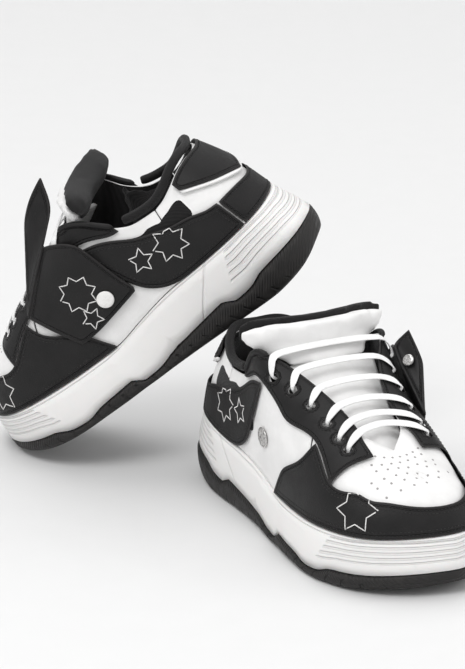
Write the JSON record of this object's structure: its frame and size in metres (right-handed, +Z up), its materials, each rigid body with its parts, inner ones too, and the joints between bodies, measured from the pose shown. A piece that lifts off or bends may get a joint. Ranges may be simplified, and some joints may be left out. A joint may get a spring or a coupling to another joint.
{
  "type": "cheer shoes",
  "caption": "Pair of thick-soled lace-up cheer shoes in black and white leather, one resting on the other's heel, each with a snap strap",
  "frame": {"origin": "on the floor, on the flat tread under the middle of the right shoe", "axes": "+Z up, -Y from the right shoe's heel to its toe, +X to the right shoe's inner side"},
  "size_m": [0.2206, 0.448, 0.2482],
  "materials": {
    "black_leather": "satin grain",
    "black_lining": "soft padded textile",
    "black_rubber": "matte moulded",
    "white_leather": "smooth satin",
    "white_foam": "moulded foam rubber, satin skin",
    "white_lace": "flat weave",
    "silver_metal": "bright stamped metal",
    "fibre_board": "pressed fibre"
  },
  "bodies": {
    "pair": {"left_outsole": "black_rubber", "left_midsole": "white_foam", "left_lasting_board": "fibre_board", "left_footbed": "black_lining", "left_vamp": "white_leather", "left_side_panel_outer": "white_leather", "left_side_panel_inner": "white_leather", "left_eyestay_outer": "black_leather", "left_eyestay_inner": "black_leather", "left_quarter_outer": "black_leather", "left_quarter_inner": "black_leather", "left_toe_guard": "black_leather", "left_collar_band": "white_leather", "left_heel_counter": "black_leather", "left_heel_tab": "black_leather", "left_heel_piping": "white_leather", "left_collar_binding": "black_lining", "left_collar_lining": "black_lining", "left_tongue": "white_leather", "left_lace": "white_lace", "left_snap_stud_outer": "silver_metal", "left_snap_stud_inner": "silver_metal", "right_outsole": "black_rubber", "right_midsole": "white_foam", "right_lasting_board": "fibre_board", "right_footbed": "black_lining", "right_vamp": "white_leather", "right_side_panel_outer": "white_leather", "right_side_panel_inner": "white_leather", "right_eyestay_outer": "black_leather", "right_eyestay_inner": "black_leather", "right_quarter_outer": "black_leather", "right_quarter_inner": "black_leather", "right_toe_guard": "black_leather", "right_collar_band": "white_leather", "right_heel_counter": "black_leather", "right_heel_tab": "black_leather", "right_heel_piping": "white_leather", "right_collar_binding": "black_lining", "right_collar_lining": "black_lining", "right_tongue": "white_leather", "right_lace": "white_lace", "right_snap_stud_outer": "silver_metal", "right_snap_stud_inner": "silver_metal"},
    "left_strap": {"left_strap_base": "black_leather", "left_snap_cap": "white_leather"},
    "left_strap_end": {"left_strap_wing": "black_leather", "left_snap_socket": "silver_metal"},
    "left_tongue_head": {"left_tongue_top": "white_leather", "left_tongue_lining": "black_lining"},
    "right_strap": {"right_strap_base": "black_leather", "right_snap_cap": "white_leather"},
    "right_strap_end": {"right_strap_wing": "black_leather", "right_snap_socket": "silver_metal"},
    "right_tongue_head": {"right_tongue_top": "white_leather", "right_tongue_lining": "black_lining"}
  },
  "joints": [
    {"name": "left_strap_unsnap", "type": "slide", "parent": "pair", "child": "left_strap", "axis": [-0.5097, -0.8573, -0.0722], "range_m": [0, 0.02]},
    {"name": "left_strap_fold", "type": "hinge", "parent": "left_strap", "child": "left_strap_end", "pos_m": [-0.13378, 0.20064, 0.14598], "axis": [0.1493, -0.1692, 0.9742], "range_deg": [-4, 30]},
    {"name": "left_tongue_bend", "type": "hinge", "parent": "pair", "child": "left_tongue_head", "pos_m": [-0.08616, 0.21788, 0.19109], "axis": [-0.5947, -0.7978, -0.0995], "range_deg": [-6, 8]},
    {"name": "right_strap_unsnap", "type": "slide", "parent": "pair", "child": "right_strap", "axis": [0.9915, 0.0784, -0.1038], "range_m": [0, 0.02]},
    {"name": "right_strap_fold", "type": "hinge", "parent": "right_strap", "child": "right_strap_end", "pos_m": [0.04461, -0.02598, 0.11046], "axis": [0.013, 0.7712, 0.6365], "range_deg": [-20, 4]},
    {"name": "right_tongue_bend", "type": "hinge", "parent": "pair", "child": "right_tongue_head", "pos_m": [0, 0.021, 0.126], "axis": [1, 0, 0], "range_deg": [-6, 8]}
  ]
}
